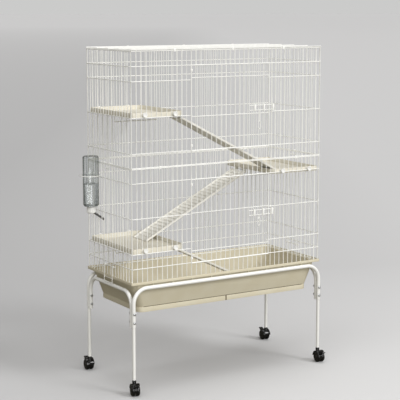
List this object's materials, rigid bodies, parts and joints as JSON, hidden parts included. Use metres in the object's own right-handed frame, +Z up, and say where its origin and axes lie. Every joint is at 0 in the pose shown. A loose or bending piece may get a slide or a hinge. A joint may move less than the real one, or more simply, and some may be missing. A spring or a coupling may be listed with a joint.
{
  "type": "ferret cage",
  "caption": "Tall wire cage on a wheeled tube stand, with a deep tray, hinged doors, platforms, ramps and a water bottle.",
  "frame": {"origin": "on the floor under the middle of everything the cage takes up, casters turned as they stand and the bottle ring included", "axes": "+X along the front from left to right as one faces the doors, +Y from the front to the back, +Z up"},
  "size_m": [1.0087, 0.496, 1.3587],
  "materials": {
    "white_tube": "white gloss powder coat",
    "white_wire": "white coated welded wire",
    "zinc_steel": "bright zinc plate",
    "tray_beige": "fine moulded grain",
    "platform_ivory": "moulded, satin",
    "ramp_grey": "moulded, satin",
    "knob_white": "moulded, gloss",
    "black_plastic": "moulded, gloss",
    "wheel_black": "smooth tread",
    "bottle_clear": "clear blown plastic",
    "spout_steel": "drawn tube",
    "ball_steel": "polished"
  },
  "bodies": {
    "stand": {"front_frame_tube": "white_tube", "back_frame_tube": "white_tube", "left_frame_tube": "white_tube", "right_frame_tube": "white_tube", "legs": "white_tube", "frame_bolts": "zinc_steel", "frame_nuts": "zinc_steel", "tube_end_caps": "knob_white", "leg_plugs": "black_plastic", "caster_stems": "zinc_steel"},
    "fork_front_left": {"caster_fork_front_left": "black_plastic"},
    "wheels_front_left": {"caster_wheels_front_left": "wheel_black"},
    "brake_front_left": {"caster_brake_front_left": "black_plastic"},
    "fork_front_right": {"caster_fork_front_right": "black_plastic"},
    "wheels_front_right": {"caster_wheels_front_right": "wheel_black"},
    "brake_front_right": {"caster_brake_front_right": "black_plastic"},
    "fork_back_left": {"caster_fork_back_left": "black_plastic"},
    "wheels_back_left": {"caster_wheels_back_left": "wheel_black"},
    "brake_back_left": {"caster_brake_back_left": "black_plastic"},
    "fork_back_right": {"caster_fork_back_right": "black_plastic"},
    "wheels_back_right": {"caster_wheels_back_right": "wheel_black"},
    "brake_back_right": {"caster_brake_back_right": "black_plastic"},
    "tray": {"tray": "tray_beige"},
    "cage": {"lower_front_panel": "white_wire", "lower_back_panel": "white_wire", "lower_left_panel": "white_wire", "lower_right_panel": "white_wire", "upper_front_panel": "white_wire", "upper_back_panel": "white_wire", "upper_left_panel": "white_wire", "upper_right_panel": "white_wire", "roof_panel": "white_wire", "upper_door_hinges": "white_wire", "lower_door_hinges": "white_wire", "latch_catches": "white_wire", "panel_clips": "white_wire", "tray_clip_pivots": "white_wire", "platform_upper_left": "platform_ivory", "platform_right": "platform_ivory", "platform_lower_left": "platform_ivory", "platform_knobs": "knob_white", "platform_brackets": "white_wire", "ramp_rods": "zinc_steel", "bottle_body": "bottle_clear", "bottle_cap": "knob_white", "bottle_spout": "spout_steel", "bottle_holder": "white_wire"},
    "upper_door": {"upper_door": "white_wire", "upper_latch_guides": "white_wire"},
    "lower_door": {"lower_door": "white_wire", "lower_latch_guides": "white_wire"},
    "upper_latch": {"upper_latch": "white_wire"},
    "lower_latch": {"lower_latch": "white_wire"},
    "tray_clip_left": {"tray_clip_left": "white_wire"},
    "tray_clip_right": {"tray_clip_right": "white_wire"},
    "ramp_upper": {"ramp_upper": "ramp_grey"},
    "ramp_middle": {"ramp_middle": "ramp_grey"},
    "ramp_lower": {"ramp_lower": "ramp_grey"},
    "spout_ball": {"spout_ball": "ball_steel"}
  },
  "joints": [
    {"name": "swivel_front_left", "type": "hinge", "parent": "stand", "child": "fork_front_left", "pos_m": [-0.41558, -0.19603, 0.06], "axis": [0, 0, 1], "continuous": true},
    {"name": "roll_front_left", "type": "hinge", "parent": "fork_front_left", "child": "wheels_front_left", "pos_m": [-0.41944, -0.20948, 0.023], "axis": [0.9613, -0.2756, 0], "continuous": true},
    {"name": "press_brake_front_left", "type": "hinge", "parent": "fork_front_left", "child": "brake_front_left", "pos_m": [-0.42507, -0.22913, 0.0414], "axis": [0.9613, -0.2756, 0], "range_deg": [0, 12]},
    {"name": "swivel_front_right", "type": "hinge", "parent": "stand", "child": "fork_front_right", "pos_m": [0.48442, -0.19603, 0.06], "axis": [0, 0, 1], "continuous": true},
    {"name": "roll_front_right", "type": "hinge", "parent": "fork_front_right", "child": "wheels_front_right", "pos_m": [0.4832, -0.20997, 0.023], "axis": [0.9962, -0.0872, 0], "continuous": true},
    {"name": "press_brake_front_right", "type": "hinge", "parent": "fork_front_right", "child": "brake_front_right", "pos_m": [0.48142, -0.23033, 0.0414], "axis": [0.9962, -0.0872, 0], "range_deg": [0, 12]},
    {"name": "swivel_back_left", "type": "hinge", "parent": "stand", "child": "fork_back_left", "pos_m": [-0.41558, 0.19597, 0.06], "axis": [0, 0, 1], "continuous": true},
    {"name": "roll_back_left", "type": "hinge", "parent": "fork_back_left", "child": "wheels_back_left", "pos_m": [-0.41412, 0.2099, 0.023], "axis": [-0.9945, 0.1045, 0], "continuous": true},
    {"name": "press_brake_back_left", "type": "hinge", "parent": "fork_back_left", "child": "brake_back_left", "pos_m": [-0.41198, 0.23022, 0.0414], "axis": [-0.9945, 0.1045, 0], "range_deg": [0, 12]},
    {"name": "swivel_back_right", "type": "hinge", "parent": "stand", "child": "fork_back_right", "pos_m": [0.48442, 0.19597, 0.06], "axis": [0, 0, 1], "continuous": true},
    {"name": "roll_back_right", "type": "hinge", "parent": "fork_back_right", "child": "wheels_back_right", "pos_m": [0.48564, 0.20992, 0.023], "axis": [-0.9962, 0.0872, 0], "continuous": true},
    {"name": "press_brake_back_right", "type": "hinge", "parent": "fork_back_right", "child": "brake_back_right", "pos_m": [0.48742, 0.23028, 0.0414], "axis": [-0.9962, 0.0872, 0], "range_deg": [0, 12]},
    {"name": "lift_tray_off_stand", "type": "slide", "parent": "stand", "child": "tray", "axis": [0, 0, 1], "range_m": [0, 0.15]},
    {"name": "lift_cage_off_tray", "type": "slide", "parent": "tray", "child": "cage", "axis": [0, 0, 1], "range_m": [0, 0.15]},
    {"name": "upper_door_swing", "type": "hinge", "parent": "cage", "child": "upper_door", "pos_m": [-0.15108, -0.19693, 1.1227], "axis": [0, 0, -1], "range_deg": [0, 170]},
    {"name": "upper_latch_slide", "type": "slide", "parent": "upper_door", "child": "upper_latch", "axis": [-1, 0, 0], "range_m": [0, 0.0175]},
    {"name": "lower_door_swing", "type": "hinge", "parent": "cage", "child": "lower_door", "pos_m": [-0.15108, -0.19693, 0.6697], "axis": [0, 0, -1], "range_deg": [0, 170]},
    {"name": "lower_latch_slide", "type": "slide", "parent": "lower_door", "child": "lower_latch", "axis": [-1, 0, 0], "range_m": [0, 0.0175]},
    {"name": "tray_clip_left_swing", "type": "hinge", "parent": "cage", "child": "tray_clip_left", "pos_m": [-0.41848, -0.00003, 0.485], "axis": [0, 1, 0], "range_deg": [0, 100]},
    {"name": "tray_clip_right_swing", "type": "hinge", "parent": "cage", "child": "tray_clip_right", "pos_m": [0.48732, -0.00003, 0.485], "axis": [0, -1, 0], "range_deg": [0, 100]},
    {"name": "ramp_upper_swing", "type": "hinge", "parent": "cage", "child": "ramp_upper", "pos_m": [-0.17958, -0.11953, 1.086], "axis": [0, -1, 0], "range_deg": [0, 26]},
    {"name": "ramp_middle_swing", "type": "hinge", "parent": "cage", "child": "ramp_middle", "pos_m": [0.24842, 0.06047, 0.825], "axis": [0, 1, 0], "range_deg": [0, 26]},
    {"name": "ramp_lower_swing", "type": "hinge", "parent": "cage", "child": "ramp_lower", "pos_m": [-0.17958, -0.09253, 0.554], "axis": [0, -1, 0], "range_deg": [0, 24]},
    {"name": "spout_ball_push", "type": "slide", "parent": "cage", "child": "spout_ball", "axis": [-0.8141, 0, 0.5807], "range_m": [0, 0.002]}
  ]
}
